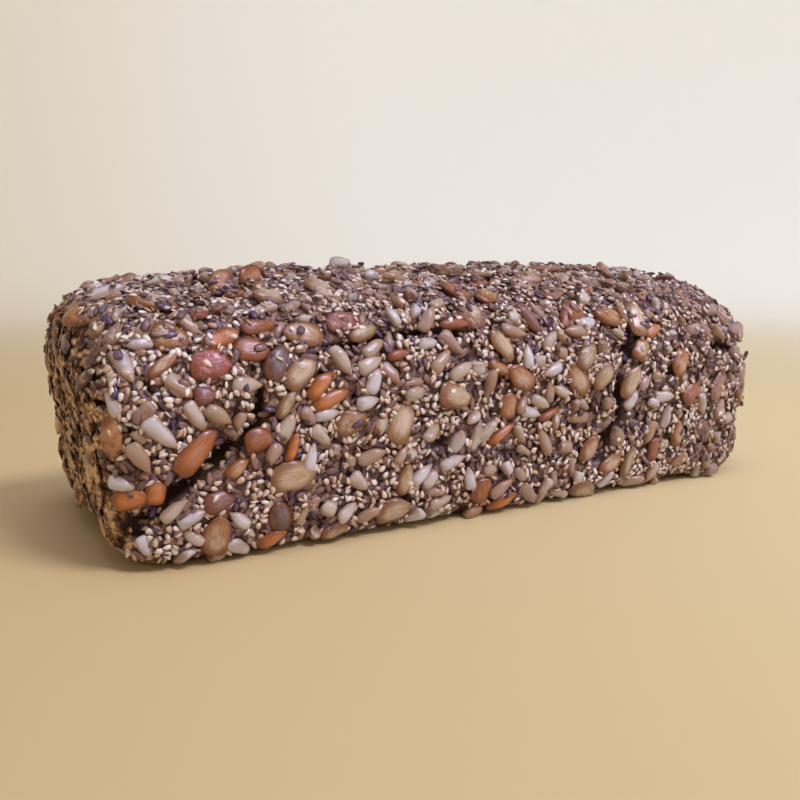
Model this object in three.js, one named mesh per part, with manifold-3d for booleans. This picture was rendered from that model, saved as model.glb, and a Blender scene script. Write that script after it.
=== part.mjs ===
// A seeded multigrain loaf baked in a tin: a dense rounded brick of bread with a low crown, folded where the
// dough was rolled up, and covered on every side in pumpkin seeds, sunflower kernels and finer seed.
//
// Millimetres, +Z up. The origin is the middle of the flat underside, +X runs along the loaf, and the long
// side with the deepest fold, the front, faces -Y.

import * as THREE from "three";
import { mergeVertices } from "three/addons/utils/BufferGeometryUtils.js";
import Module from "manifold-3d";

const wasm = await Module();
wasm.setup();

// The bread under its seeds
const BREAD_LENGTH = 249.5;
const BREAD_WIDTH = 92;
const BREAD_HEIGHT = 76.8;
const END_FLARE = 9; // each end leans out by this much from the floor to the crown
const END_DROOP = 7.5; // the crown falls by this much towards each end
const SIDE_DROOP = 17; // and by this much towards each long side
const UPRIGHT_EDGE_RADIUS = 13;
const TOP_EDGE_RADIUS = 15;
const BOTTOM_EDGE_RADIUS = 10;
const UNDERSIDE_TRIM = 0.4; // the dough reaches this far below the floor, and is then cut off flat

// The spine that the skin is measured out from, a level line inside the bread
const SPINE_HALF_LENGTH = 78;
const SPINE_HEIGHT = 34;
const FARTHEST_SKIN = 160;
const HALVINGS = 30;

// Steps of the skin's grid along the length, across and up
const SKIN_STEPS = { length: 22, across: 9, up: 8 };

// Broad swells in the dough: the middle of each, how far it reaches and how high it stands
const SWELLS = [
  { at: [-99, -44, 48], reach: 24, height: 1.5 },
  { at: [-92, -12, 76], reach: 26, height: 0.6 },
  { at: [88, -44, 34], reach: 28, height: 0.8 },
  { at: [-20, 45, 50], reach: 36, height: 1.5 },
  { at: [70, 42, 28], reach: 28, height: 1.3 },
  { at: [36, 8, 76], reach: 30, height: 0.9 },
];
const RIPPLE_HEIGHT = 0.55;

// Folds left by rolling the dough: how far each cuts in, its half width, and the line that it follows
const FRONT = -BREAD_WIDTH / 2;
const BACK = BREAD_WIDTH / 2;
const FOLD_STEP = 9;
const FOLDS = [
  {
    depth: 4.2,
    halfWidth: 2.4,
    path: [
      [-79, FRONT, 53],
      [-79, FRONT, 38],
      [-84, FRONT, 32],
      [-97, FRONT, 24.5],
      [-106, FRONT + 1, 19],
      [-114, FRONT + 5, 12],
    ],
  },
  {
    depth: 3.6,
    halfWidth: 2.1,
    path: [
      [60, FRONT, 58],
      [51, FRONT, 42],
      [52, FRONT, 28],
      [43, FRONT, 13],
    ],
  },
  {
    depth: 2.8,
    halfWidth: 1.7,
    path: [
      [-62, FRONT, 57],
      [-44, FRONT + 1, 60],
      [-26, FRONT + 1, 63],
      [-8, FRONT + 1, 61],
    ],
  },
  {
    depth: 3.4,
    halfWidth: 2.4,
    path: [
      [98, FRONT, 52],
      [110, FRONT + 2, 46],
      [121, FRONT + 14, 49],
      [123, FRONT + 34, 54],
    ],
  },
  {
    depth: 3.4,
    halfWidth: 2,
    path: [
      [-70, BACK, 52],
      [-48, BACK, 38],
      [-30, BACK, 33],
      [-6, BACK, 20],
    ],
  },
  {
    depth: 3,
    halfWidth: 2,
    path: [
      [34, BACK, 56],
      [46, BACK, 40],
      [64, BACK, 30],
    ],
  },
];

// The large seeds: lengths from and to, width as a share of the length, thickness, how far the tip narrows,
// and how deep a seed sits in the dough as a share of its thickness
const PUMPKIN = {
  length: [11, 14.5],
  width: [0.56, 0.68],
  thickness: [2.6, 3.3],
  taper: 0.14,
  sunk: 0.42,
};
const SUNFLOWER = {
  length: [8, 11],
  width: [0.42, 0.52],
  thickness: [3, 3.8],
  taper: 0.34,
  sunk: 0.45,
};

// Seeds that stand out on the front: middle along the loaf and up it, length, width, and the turn from level
const FRONT_PUMPKINS = [
  [-91.5, 54.5, 12, 8, 0],
  [-96.5, 32, 15, 7.5, 42],
  [-79.5, 33, 9, 6.5, 5],
  [-86, 26, 7.5, 4.5, 35],
  [-80, 58.5, 10.5, 7, -8],
  [-88.5, 63.5, 11, 5.5, 18],
  [-105, 66, 11, 8.5, -25],
  [-120, 38, 12, 6, 98],
  [-115, 20, 10, 6, 15],
  [-91, 18, 9, 6.5, 10],
  [-92, 8.5, 12, 8, 82],
  [-74, 11, 9, 7, 100],
  [-70, 21.5, 13.5, 9, 4],
  [-76, 4, 9, 5, 22],
  [-61, 46.5, 10.5, 4.6, 42],
  [-58, 42.3, 12, 5, 20],
  [-66.5, 50.5, 12, 7, 35],
  [-52, 35, 10.5, 7.5, 20],
  [-71.5, 42, 9, 4, 55],
  [-70, 30, 9, 3.6, 68],
  [-50, 68.5, 12.5, 6.5, 14],
  [-45, 63, 11, 5, 20],
  [-13, 65, 11, 4, -3],
  [4, 35, 9, 7, 80],
  [0, 47.5, 8, 4, -30],
  [-6, 9, 9, 7.5, 60],
  [2.5, 3.5, 11.5, 5, 24],
  [36, 49, 11, 6.5, 45],
  [61, 50, 9, 6.5, 45],
  [56, 39, 13, 6.5, 60],
  [38.5, 17, 11, 6.5, 55],
  [56, 11, 12, 4, 70],
  [36, 69, 9, 8, 10],
  [16, 66, 12, 5, -65],
];
const FRONT_SUNFLOWERS = [
  [-105, 37.5, 11.5, 5, -45],
  [-111, 31.5, 9.5, 4.6, -58],
  [-96.5, 41, 9, 4, -62],
  [-90.5, 40.5, 8.5, 4.2, -32],
  [-100.5, 49, 8.5, 4.6, -48],
  [-103, 17, 8.5, 3.6, 42],
  [-98.5, 14.5, 8, 4.4, 24],
  [-61, 32, 8, 4.4, -45],
  [-64.5, 26.5, 9, 4, 70],
  [-59, 38, 8, 3.6, 8],
  [-71.5, 36, 8, 5, 58],
  [-45, 51.5, 8.5, 4.6, 24],
  [-21, 51, 9, 4.4, 45],
  [-16, 57, 9.5, 4.4, -52],
  [-49, 17, 7.5, 4.8, -42],
  [-28, 17, 9, 3.8, 36],
];


// The rest of the large seeds lie by chance, the same in every run
const PUMPKIN_COUNT = 84;
const SUNFLOWER_COUNT = 54;
const CHANCE_START = 4127;
const TRIES_PER_SEED = 40;
const CLEARANCE = 0.9; // between two seeds' middles, as a share of their summed half sizes
const FOLD_CLEARANCE = 0.4; // between a fold's edge and a seed's middle, as a share of the seed's width
const MOST_LEAN = 0.2; // radians that a seed tips from lying flat on the skin

const WAIST_SHARE = 0.85; // an icosahedron's width half way up, stood on a corner, as a share of its height
const SAME_CORNER = 1e-4; // corners of one shape that are this close are the same corner
const SPECK = 0.01; // an edge shorter than this, left where three shapes nearly meet, is welded shut

// The same numbers from 0 to 1 in every run
function chance(start) {
  let state = start;
  return () => {
    state = (state + 0x6d2b79f5) | 0;
    let mixed = Math.imul(state ^ (state >>> 15), 1 | state);
    mixed = (mixed + Math.imul(mixed ^ (mixed >>> 7), 61 | mixed)) ^ mixed;
    return ((mixed ^ (mixed >>> 14)) >>> 0) / 4294967296;
  };
}

// Where two sides meet in a rounded edge: how far outside both a point is
function roundedMeet(first, second, radius) {
  if (first > -radius && second > -radius) {
    return Math.hypot(first + radius, second + radius) - radius;
  }
  return Math.max(first, second);
}

function swellAt(p) {
  const ripple = Math.sin(p.x / 7.1 + p.z / 9.3) * Math.sin(p.y / 6.7 - p.x / 15.1 + 1.7);
  let total = RIPPLE_HEIGHT * ripple;
  for (const { at, reach, height } of SWELLS) {
    const apart = (p.x - at[0]) ** 2 + (p.y - at[1]) ** 2 + (p.z - at[2]) ** 2;
    total += height * Math.exp(-apart / (reach * reach));
  }
  return total;
}

// How far a point stands outside the bread, and less than nothing inside it
function outsideBread(p) {
  const risen = THREE.MathUtils.clamp(p.z / BREAD_HEIGHT, 0, 1);
  const halfLength = BREAD_LENGTH / 2 - END_FLARE * (1 - risen);
  const alongShare = (p.x / (BREAD_LENGTH / 2)) ** 2;
  const acrossShare = (p.y / (BREAD_WIDTH / 2)) ** 2;
  const crown = BREAD_HEIGHT - END_DROOP * alongShare * alongShare - SIDE_DROOP * acrossShare;
  const sides = roundedMeet(
    Math.abs(p.x) - halfLength,
    Math.abs(p.y) - BREAD_WIDTH / 2,
    UPRIGHT_EDGE_RADIUS,
  );
  const topped = roundedMeet(sides, p.z - crown, TOP_EDGE_RADIUS);
  const closed = roundedMeet(topped, -p.z - UNDERSIDE_TRIM, BOTTOM_EDGE_RADIUS);
  return closed - swellAt(p);
}

// The skin's point that a point of the plain box round the bread is drawn in to, towards the spine
function skinPoint(boxPoint) {
  const foot = new THREE.Vector3(
    THREE.MathUtils.clamp(boxPoint.x, -SPINE_HALF_LENGTH, SPINE_HALF_LENGTH),
    0,
    SPINE_HEIGHT,
  );
  const ray = boxPoint.clone().sub(foot).normalize();
  let inside = 0;
  let outside = FARTHEST_SKIN;
  for (let i = 0; i < HALVINGS; i++) {
    const middle = (inside + outside) / 2;
    if (outsideBread(foot.clone().addScaledVector(ray, middle)) < 0) inside = middle;
    else outside = middle;
  }
  return foot.addScaledVector(ray, inside);
}

function skinNormal(p) {
  const step = 0.5;
  const slope = new THREE.Vector3();
  for (const axis of ["x", "y", "z"]) {
    const ahead = p.clone();
    const behind = p.clone();
    ahead[axis] += step;
    behind[axis] -= step;
    slope[axis] = outsideBread(ahead) - outsideBread(behind);
  }
  return slope.normalize();
}

// A closed three.js geometry as a solid that can be joined and cut
function solidOf(geometry) {
  const bare = geometry.clone();
  bare.deleteAttribute("normal");
  bare.deleteAttribute("uv");
  const merged = mergeVertices(bare, SAME_CORNER);
  return new wasm.Manifold(
    new wasm.Mesh({
      numProp: 3,
      vertProperties: merged.attributes.position.array,
      triVerts: new Uint32Array(merged.index.array),
    }),
  );
}

// A joined solid as a three.js geometry, with its specks of edges welded and the faces that shuts left out
function geometryOf(solid) {
  const mesh = solid.getMesh();
  const joined = new THREE.BufferGeometry();
  joined.setAttribute("position", new THREE.BufferAttribute(mesh.vertProperties, 3));
  joined.setIndex(new THREE.BufferAttribute(mesh.triVerts, 1));
  const geometry = mergeVertices(joined, SPECK);
  const corners = geometry.index.array;
  const open = [];
  for (let i = 0; i < corners.length; i += 3) {
    const face = corners.slice(i, i + 3);
    if (new Set(face).size === 3) open.push(...face);
  }
  geometry.setIndex(open);
  geometry.computeVertexNormals();
  return geometry;
}

function breadSolid() {
  const { length, across, up } = SKIN_STEPS;
  const box = new THREE.BoxGeometry(BREAD_LENGTH, BREAD_WIDTH, BREAD_HEIGHT, length, across, up);
  box.translate(0, 0, BREAD_HEIGHT / 2);
  const place = box.attributes.position;
  const point = new THREE.Vector3();
  for (let i = 0; i < place.count; i++) {
    const skin = skinPoint(point.fromBufferAttribute(place, i));
    place.setXYZ(i, skin.x, skin.y, skin.z);
  }
  return solidOf(box);
}

// A fold's cutter: a square rod that lies along the skin, half sunk into it
function foldSolid({ depth, halfWidth, path }) {
  const sunk = depth - halfWidth;
  const points = path.map((p) => {
    const skin = skinPoint(new THREE.Vector3(...p));
    return skin.addScaledVector(skinNormal(skin), -sunk);
  });
  const line = new THREE.CatmullRomCurve3(points, false, "centripetal");
  const section = new THREE.Shape();
  for (let side = 0; side < 4; side++) {
    const turn = (side * Math.PI) / 2;
    const [x, y] = [halfWidth * Math.cos(turn), halfWidth * Math.sin(turn)];
    if (side) section.lineTo(x, y);
    else section.moveTo(x, y);
  }
  const steps = Math.ceil(line.getLength() / FOLD_STEP);
  return solidOf(new THREE.ExtrudeGeometry(section, { extrudePath: line, steps }));
}

// The way a seed lies: its length turned from the loaf's own length, and its flat side on the skin
function seedFrame(normal, turn, leanAlong, leanAcross) {
  const level = Math.abs(normal.x) > 0.8 ? new THREE.Vector3(0, 1, 0) : new THREE.Vector3(1, 0, 0);
  const along = level.addScaledVector(normal, -level.dot(normal)).normalize();
  const across = normal.clone().cross(along);
  const frame = new THREE.Matrix4().makeBasis(along, across, normal);
  frame.multiply(new THREE.Matrix4().makeRotationZ(turn));
  frame.multiply(new THREE.Matrix4().makeRotationX(leanAcross));
  return frame.multiply(new THREE.Matrix4().makeRotationY(leanAlong));
}

// A seed as a stretched icosahedron that stands on one corner, so that ten of its sides cross the skin
function seedSolid(kind, seed) {
  const cornerUp = Math.atan(2 / (1 + Math.sqrt(5)));
  const kernel = new THREE.IcosahedronGeometry(0.5).rotateX(cornerUp).rotateZ(Math.PI / 2);
  const place = kernel.attributes.position;
  for (let i = 0; i < place.count; i++) {
    const x = place.getX(i) / WAIST_SHARE;
    const y = (place.getY(i) / WAIST_SHARE) * (1 - 2 * kind.taper * x);
    place.setXYZ(i, x * seed.length, y * seed.width, place.getZ(i) * seed.thickness);
  }
  const middle = seed.skin.clone().addScaledVector(seed.normal, seed.thickness * (0.5 - kind.sunk));
  kernel.applyMatrix4(seedFrame(seed.normal, seed.turn, seed.leanAlong, seed.leanAcross));
  kernel.translate(middle.x, middle.y, middle.z);
  return solidOf(kernel);
}

// From a point to the edge of the fold nearest to it
function nearestFold(p) {
  let nearest = Infinity;
  const closest = new THREE.Vector3();
  for (const { path, halfWidth } of FOLDS) {
    for (let i = 1; i < path.length; i++) {
      const run = new THREE.Line3(new THREE.Vector3(...path[i - 1]), new THREE.Vector3(...path[i]));
      run.closestPointToPoint(p, true, closest);
      nearest = Math.min(nearest, closest.distanceTo(p) - halfWidth);
    }
  }
  return nearest;
}

function between([low, high], share) {
  return low + (high - low) * share;
}

// A seed's place and size, from a point of the box, its turn in degrees and its leans as shares of the most
function seedAt(boxPoint, length, width, thickness, turn, leans) {
  const skin = skinPoint(boxPoint);
  return {
    skin,
    normal: skinNormal(skin),
    length,
    width,
    thickness,
    turn: THREE.MathUtils.degToRad(turn),
    leanAlong: leans[0] * MOST_LEAN,
    leanAcross: leans[1] * MOST_LEAN,
    room: (length + width) / 4,
  };
}

function standingOutSeeds(kind, rows) {
  const thickness = between(kind.thickness, 0.5);
  return rows.map(([x, z, length, width, turn], row) => {
    const halfLeans = [Math.sin(row) / 2, Math.cos(row) / 2];
    return seedAt(new THREE.Vector3(x, FRONT, z), length, width, thickness, turn, halfLeans);
  });
}

// A point anywhere on the box but its underside, each side drawn as often as it is large
function anyBoxPoint(draw) {
  const sides = [
    [BREAD_LENGTH * BREAD_HEIGHT, (u, v) => [u * BREAD_LENGTH, FRONT, v * BREAD_HEIGHT]],
    [BREAD_LENGTH * BREAD_HEIGHT, (u, v) => [u * BREAD_LENGTH, BACK, v * BREAD_HEIGHT]],
    [BREAD_LENGTH * BREAD_WIDTH, (u, v) => [u * BREAD_LENGTH, (v - 0.5) * BREAD_WIDTH, BREAD_HEIGHT]],
    [BREAD_WIDTH * BREAD_HEIGHT, (u, v) => [-BREAD_LENGTH / 2, u * BREAD_WIDTH, v * BREAD_HEIGHT]],
    [BREAD_WIDTH * BREAD_HEIGHT, (u, v) => [BREAD_LENGTH / 2, u * BREAD_WIDTH, v * BREAD_HEIGHT]],
  ];
  const whole = sides.reduce((sum, [area]) => sum + area, 0);
  let left = draw() * whole;
  const side = sides.find(([area]) => (left -= area) < 0) ?? sides[0];
  return new THREE.Vector3(...side[1](draw() - 0.5, draw()));
}

// Adds seeds where there is room between those already lying, until there are count of the kind
function scatterSeeds(kind, count, lying, draw) {
  const added = [];
  for (let i = 0; i < count * TRIES_PER_SEED && added.length < count; i++) {
    const boxPoint = anyBoxPoint(draw);
    const length = between(kind.length, draw());
    const width = length * between(kind.width, draw());
    const thickness = between(kind.thickness, draw());
    const turn = 360 * draw();
    const seed = seedAt(boxPoint, length, width, thickness, turn, [2 * draw() - 1, 2 * draw() - 1]);
    const crowded = [...lying, ...added].some(
      (other) => other.skin.distanceTo(seed.skin) < CLEARANCE * (other.room + seed.room),
    );
    if (!crowded && nearestFold(seed.skin) > FOLD_CLEARANCE * width) added.push(seed);
  }
  return added;
}

function loafSolid() {
  const draw = chance(CHANCE_START);
  const pumpkins = standingOutSeeds(PUMPKIN, FRONT_PUMPKINS);
  const sunflowers = standingOutSeeds(SUNFLOWER, FRONT_SUNFLOWERS);
  pumpkins.push(...scatterSeeds(PUMPKIN, PUMPKIN_COUNT, [...pumpkins, ...sunflowers], draw));
  sunflowers.push(...scatterSeeds(SUNFLOWER, SUNFLOWER_COUNT, [...pumpkins, ...sunflowers], draw));

  const dough = FOLDS.reduce((bread, fold) => bread.subtract(foldSolid(fold)), breadSolid());
  const seeds = [
    ...pumpkins.map((seed) => seedSolid(PUMPKIN, seed)),
    ...sunflowers.map((seed) => seedSolid(SUNFLOWER, seed)),
  ];
  const floor = new THREE.BoxGeometry(2 * BREAD_LENGTH, 2 * BREAD_WIDTH, BREAD_WIDTH);
  floor.translate(0, 0, -BREAD_WIDTH / 2);
  const joined = seeds.reduce((loaf, seed) => loaf.add(seed), dough).subtract(solidOf(floor));
  const [whole] = joined.decompose().sort((a, b) => b.volume() - a.volume());
  return whole;
}

const crust = new THREE.MeshStandardMaterial({ color: 0x6b4a35, roughness: 0.62, metalness: 0 });
const loaf = new THREE.Mesh(geometryOf(loafSolid()), crust);
loaf.name = "seeded_loaf";

const model = new THREE.Group();
model.add(loaf);

export default model;
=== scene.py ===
"""A seeded multigrain loaf, baked in a tin: its crust with the folds in it, the large seeds where the solid
has them, the finer seed that fills what is left, and the crushed seed that sticks to all of it.

The form of the bread and the rule that lays the large seeds repeat the solid's own. They are worked out in
millimetres, and meshes are made in metres.
"""

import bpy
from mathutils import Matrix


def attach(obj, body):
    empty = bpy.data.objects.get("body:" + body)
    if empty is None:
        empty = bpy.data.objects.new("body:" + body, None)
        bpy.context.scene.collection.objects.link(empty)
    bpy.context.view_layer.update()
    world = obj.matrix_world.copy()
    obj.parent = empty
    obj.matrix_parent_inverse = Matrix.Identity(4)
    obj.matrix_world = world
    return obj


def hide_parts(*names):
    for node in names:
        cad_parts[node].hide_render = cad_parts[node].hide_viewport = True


bl_info = {
    "name": "Seeded multigrain loaf",
    "version": (1, 0, 0),
    "blender": (4, 5, 0),
    "location": "View3D > Sidebar > Loaf",
    "description": "Builds the crust and the seeds of a tin-baked multigrain loaf round its solid",
    "category": "Add Mesh",
}

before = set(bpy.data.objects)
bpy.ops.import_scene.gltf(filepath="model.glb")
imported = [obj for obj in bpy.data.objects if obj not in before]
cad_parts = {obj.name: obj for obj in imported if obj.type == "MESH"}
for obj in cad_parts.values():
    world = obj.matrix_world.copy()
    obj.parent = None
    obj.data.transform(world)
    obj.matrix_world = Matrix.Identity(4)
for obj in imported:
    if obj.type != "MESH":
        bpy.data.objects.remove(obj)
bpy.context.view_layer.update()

import math
import random
from typing import NamedTuple

import bpy
import numpy as np
from bpy.props import FloatProperty, FloatVectorProperty, IntProperty, PointerProperty
from mathutils import Matrix, Vector, noise
from mathutils.bvhtree import BVHTree

NODE = "seeded_loaf"
MM = 0.001

# The bread, in millimetres, as the solid has it
BREAD_LENGTH = 249.5
BREAD_WIDTH = 92
BREAD_HEIGHT = 76.8
END_FLARE = 9
END_DROOP = 7.5
SIDE_DROOP = 17
UPRIGHT_EDGE_RADIUS = 13
TOP_EDGE_RADIUS = 15
BOTTOM_EDGE_RADIUS = 10
UNDERSIDE_TRIM = 0.4
SPINE_HALF_LENGTH = 78
SPINE_HEIGHT = 34
FARTHEST_SKIN = 160
HALVINGS = 30
SWELLS = (
    ((-99, -44, 48), 24, 1.5),
    ((-92, -12, 76), 26, 0.6),
    ((88, -44, 34), 28, 0.8),
    ((-20, 45, 50), 36, 1.5),
    ((70, 42, 28), 28, 1.3),
    ((36, 8, 76), 30, 0.9),
)
RIPPLE_HEIGHT = 0.55

# The folds: how far each cuts in, its half width, and the line that it follows
FRONT = -BREAD_WIDTH / 2
BACK = BREAD_WIDTH / 2
FOLDS = (
    (4.2, 2.4, ((-79, FRONT, 53), (-79, FRONT, 38), (-84, FRONT, 32), (-97, FRONT, 24.5),
                (-106, FRONT + 1, 19), (-114, FRONT + 5, 12))),
    (3.6, 2.1, ((60, FRONT, 58), (51, FRONT, 42), (52, FRONT, 28), (43, FRONT, 13))),
    (2.8, 1.7, ((-62, FRONT, 57), (-44, FRONT + 1, 60), (-26, FRONT + 1, 63), (-8, FRONT + 1, 61))),
    (3.4, 2.4, ((98, FRONT, 52), (110, FRONT + 2, 46), (121, FRONT + 14, 49), (123, FRONT + 34, 54))),
    (3.4, 2.0, ((-70, BACK, 52), (-48, BACK, 38), (-30, BACK, 33), (-6, BACK, 20))),
    (3.0, 2.0, ((34, BACK, 56), (46, BACK, 40), (64, BACK, 30))),
)

# Holes that the scene adds to them: where, how wide and how deep
HOLES = (
    ((-114, -43, 13), 4.5, 6.0),
    ((-107, -46, 16), 3.5, 5.0),
    ((-79, -46, 44), 3.0, 5.0),
    ((57, -46, 50), 3.2, 5.0),
    ((51, -46, 34), 3.2, 5.0),
    ((46, -46, 20), 3.0, 4.5),
    ((121, -30, 50), 5.0, 4.0),
)

# Seeds that stand out on the front: along the loaf, up it, length, width, turn from level, and tone
OLIVE, GREIGE, TAN, OCHRE, ORANGE = 0.03, 0.15, 0.28, 0.4, 0.52
RUST, RED, MAUVE, DARK = 0.64, 0.76, 0.88, 0.98
FRONT_PUMPKINS = (
    (-91.5, 54.5, 12, 8, 0, RED),
    (-96.5, 32, 15, 7.5, 42, 0.6),
    (-79.5, 33, 9, 6.5, 5, RUST),
    (-86, 26, 7.5, 4.5, 35, OCHRE),
    (-80, 58.5, 10.5, 7, -8, RUST),
    (-88.5, 63.5, 11, 5.5, 18, ORANGE),
    (-105, 66, 11, 8.5, -25, TAN),
    (-120, 38, 12, 6, 98, RUST),
    (-115, 20, 10, 6, 15, ORANGE),
    (-91, 18, 9, 6.5, 10, MAUVE),
    (-92, 8.5, 12, 8, 82, TAN),
    (-74, 11, 9, 7, 100, DARK),
    (-70, 21.5, 13.5, 9, 4, GREIGE),
    (-76, 4, 9, 5, 22, ORANGE),
    (-61, 46.5, 10.5, 4.6, 42, ORANGE),
    (-58, 42.3, 12, 5, 20, ORANGE),
    (-66.5, 50.5, 12, 7, 35, GREIGE),
    (-52, 35, 10.5, 7.5, 20, TAN),
    (-71.5, 42, 9, 4, 55, OLIVE),
    (-70, 30, 9, 3.6, 68, ORANGE),
    (-50, 68.5, 12.5, 6.5, 14, RED),
    (-45, 63, 11, 5, 20, OLIVE),
    (-13, 65, 11, 4, -3, RUST),
    (4, 35, 9, 7, 80, OCHRE),
    (0, 47.5, 8, 4, -30, OCHRE),
    (-6, 9, 9, 7.5, 60, RUST),
    (2.5, 3.5, 11.5, 5, 24, ORANGE),
    (36, 49, 11, 6.5, 45, OLIVE),
    (61, 50, 9, 6.5, 45, TAN),
    (56, 39, 13, 6.5, 60, GREIGE),
    (38.5, 17, 11, 6.5, 55, TAN),
    (56, 11, 12, 4, 70, OLIVE),
    (36, 69, 9, 8, 10, RUST),
    (16, 66, 12, 5, -65, MAUVE),
)
PALE, GREY, BUFF, BLUSH = 0.08, 0.35, 0.62, 0.9
FRONT_SUNFLOWERS = (
    (-105, 37.5, 11.5, 5, -45, PALE),
    (-111, 31.5, 9.5, 4.6, -58, BUFF),
    (-96.5, 41, 9, 4, -62, GREY),
    (-90.5, 40.5, 8.5, 4.2, -32, BUFF),
    (-100.5, 49, 8.5, 4.6, -48, BUFF),
    (-103, 17, 8.5, 3.6, 42, GREY),
    (-98.5, 14.5, 8, 4.4, 24, PALE),
    (-61, 32, 8, 4.4, -45, GREY),
    (-64.5, 26.5, 9, 4, 70, PALE),
    (-59, 38, 8, 3.6, 8, PALE),
    (-71.5, 36, 8, 5, 58, GREY),
    (-45, 51.5, 8.5, 4.6, 24, GREY),
    (-21, 51, 9, 4.4, 45, BUFF),
    (-16, 57, 9.5, 4.4, -52, BLUSH),
    (-49, 17, 7.5, 4.8, -42, GREY),
    (-28, 17, 9, 3.8, 36, PALE),
)

# More of them, too small or too near each other for the solid
MORE_FRONT_PUMPKINS = (
    (-104, 28, 9, 5.5, 20, ORANGE),
    (-107.5, 22.5, 7, 5.5, 80, ORANGE),
    (-76, 68, 11, 5, 12, RUST),
    (-73, 54, 11, 6.5, 60, DARK),
    (-94, 46, 6, 5.5, 0, MAUVE),
    (-105, 56, 11, 3.5, 35, TAN),
    (-64, 65, 10, 5.5, -15, OLIVE),
    (-35, 54, 8, 3, 10, RUST),
    (-8, 72, 9, 5, 15, ORANGE),
    (-57, 3, 9, 5, 10, TAN),
    (-52.5, 14.5, 8.5, 5.5, 65, TAN),
    (-34, 16, 10, 5, 75, GREIGE),
    (1, 26.5, 11.5, 3.5, 30, ORANGE),
    (37, 4.5, 8.5, 5, 35, ORANGE),
    (31, 39, 10, 4.5, 47, MAUVE),
    (45, 49, 10.5, 4, 54, TAN),
    (20, 31, 9, 3, 20, RUST),
    (68, 57, 9, 4.5, 25, ORANGE),
    (30.5, 65, 7.5, 3.2, 70, RUST),
    (68, 14, 9, 5, 75, RUST),
    (79, 19, 10, 5.5, 80, TAN),
    (85, 33, 11, 7, 30, RUST),
)
MORE_FRONT_SUNFLOWERS = (
    (-121, 55, 11, 4.6, 45, BLUSH),
    (-46.5, 40.5, 7.5, 4.4, 10, PALE),
    (-44.5, 46.5, 8, 4.4, 60, PALE),
    (-39.5, 46.5, 8, 4.2, -10, GREY),
    (-17, 19.5, 9, 4, 20, PALE),
    (-14, 47.5, 9.5, 4.2, 30, GREY),
    (-54, 53, 10, 4, -60, GREY),
    (-43, 57, 9, 4, 32, BUFF),
    (-62, 56.5, 10, 4.4, 15, PALE),
    (11.5, 50.5, 8, 3.8, 85, PALE),
    (6, 51.5, 8, 3.8, 95, GREY),
    (32, 43, 9, 4.2, 35, PALE),
    (16.5, 35, 8, 3.8, -25, GREY),
    (13, 32, 8, 3.8, -15, PALE),
    (20, 24, 8, 4, -40, GREY),
    (-1, 29.5, 8.5, 4, -20, PALE),
    (56, 33, 7.5, 3.8, 50, PALE),
    (47, 5, 8, 4, 50, PALE),
    (22, 56, 8, 4, 45, GREY),
)

# Each kind of seed in millimetres: lengths, width as a share of them, thickness, taper, and how deep it is
# sunk. Then, for small ones, how far they lean, how many lie on edge, how far they may lap over others, how
# many lie on the large ones, how they shun the folds, and how many places are tried
PUMPKIN = {
    "length": (11, 14.5), "width": (0.56, 0.68), "thickness": (2.6, 3.3), "taper": 0.14, "sunk": 0.42,
}
SUNFLOWER = {
    "length": (8, 11), "width": (0.42, 0.52), "thickness": (3, 3.8), "taper": 0.34, "sunk": 0.45,
}
SMALL_PUMPKIN = {
    "length": (7.5, 12), "width": (0.5, 0.66), "thickness": (2.2, 3.0), "sunk": (0.1, 0.7),
    "lean": 0.3, "on_edge": 0.3, "overlap": 0.26, "covers": 0.0, "shuns_folds": 0.7,
    "tries": 1500,
}
SMALL_SUNFLOWER = {
    "length": (6.5, 10), "width": (0.4, 0.54), "thickness": (2.6, 3.4), "sunk": (0.1, 0.7),
    "lean": 0.3, "on_edge": 0.05, "overlap": 0.2, "covers": 0.0, "shuns_folds": 0.7,
    "tries": 7000,
}
LINSEED = {
    "length": (4.0, 5.2), "width": (0.48, 0.56), "thickness": (1.0, 1.3), "sunk": (0.0, 1.0),
    "lean": 0.24, "on_edge": 0.08, "overlap": 0.46, "covers": 0.36, "shuns_folds": 0.25,
    "tries": 40000,
}
SESAME = {
    "length": (2.2, 2.9), "width": (0.54, 0.66), "thickness": (0.6, 0.85), "sunk": (-0.1, 0.55),
    "lean": 0.26, "on_edge": 0.06, "overlap": 0.3, "covers": 0.35, "shuns_folds": 0.95,
    "tries": 84000,
}
FLAKE = {
    "length": (1.2, 3.6), "width": (0.45, 0.9), "thickness": (0.3, 0.6), "sunk": (-0.6, 1.4),
    "lean": 0.35, "on_edge": 0.08, "overlap": 0.35, "covers": 0.7, "shuns_folds": 0.6,
    "tries": 22000,
}

# How the solid's rule scatters its seeds
SOLID_PUMPKIN_COUNT = 84
SOLID_SUNFLOWER_COUNT = 54
CHANCE_START = 4127
TRIES_PER_SEED = 40
CLEARANCE = 0.9
FOLD_CLEARANCE = 0.4
MOST_LEAN = 0.2

# The camera, from the loaf's outline in the photo
CAMERA_PLACE = (-0.16083, -0.26353, 0.08194)
CAMERA_DOWN = 9.44
CAMERA_TURN = 29.92
CAMERA_LENS = 39.13

# The light and the paper, in metres
LIGHT_AIM = (0, 0, 0.03)
KEY_PLACE = (0.45, -0.95, 1.5)
KEY_SIZE = 0.6
KEY_COLOUR = (1.0, 0.975, 0.955)
TOP_PLACE = (-0.1, -0.2, 1.6)
TOP_SIZE = 0.8
TOP_COLOUR = (0.85, 0.86, 1.0)
SKY_COLOUR = (1.0, 0.95, 0.88)
SWEEP_FLAT = 1.0
SWEEP_BEND = 0.9
SWEEP_HEIGHT = 1.2

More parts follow.
